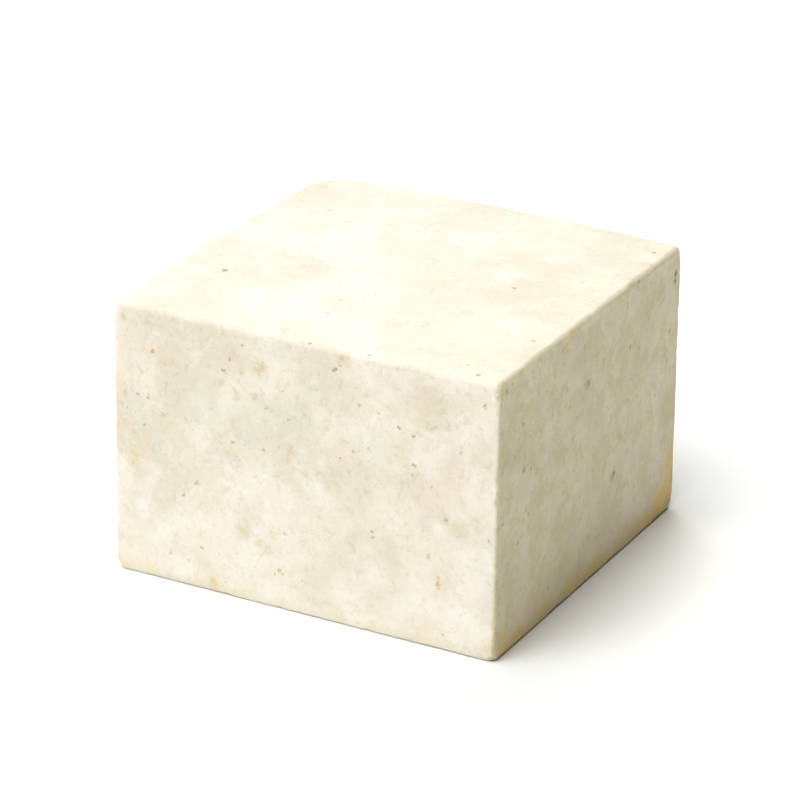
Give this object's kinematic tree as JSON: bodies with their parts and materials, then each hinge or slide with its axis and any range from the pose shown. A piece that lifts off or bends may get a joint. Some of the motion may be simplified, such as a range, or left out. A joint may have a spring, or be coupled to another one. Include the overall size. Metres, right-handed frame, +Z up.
{
  "type": "chalk block",
  "caption": "Solid rectangular block of pale cream mottled stone with honed faces, softened arrises and a flat base: picked up and rubbed on the hands, or set down on a flat surface.",
  "frame": {"origin": "middle of the flat base, on the surface that the block stands on", "axes": "+X along the block's width, +Y along its depth away from the front face, +Z up through its height"},
  "size_m": [0.06, 0.0594, 0.0415],
  "materials": {
    "cream_stone": "honed, faintly waxy, cream mottled with tan, white and grey-green, with rust and dark mineral specks"
  },
  "bodies": {
    "root": {"stone_block": "cream_stone"}
  },
  "joints": []
}
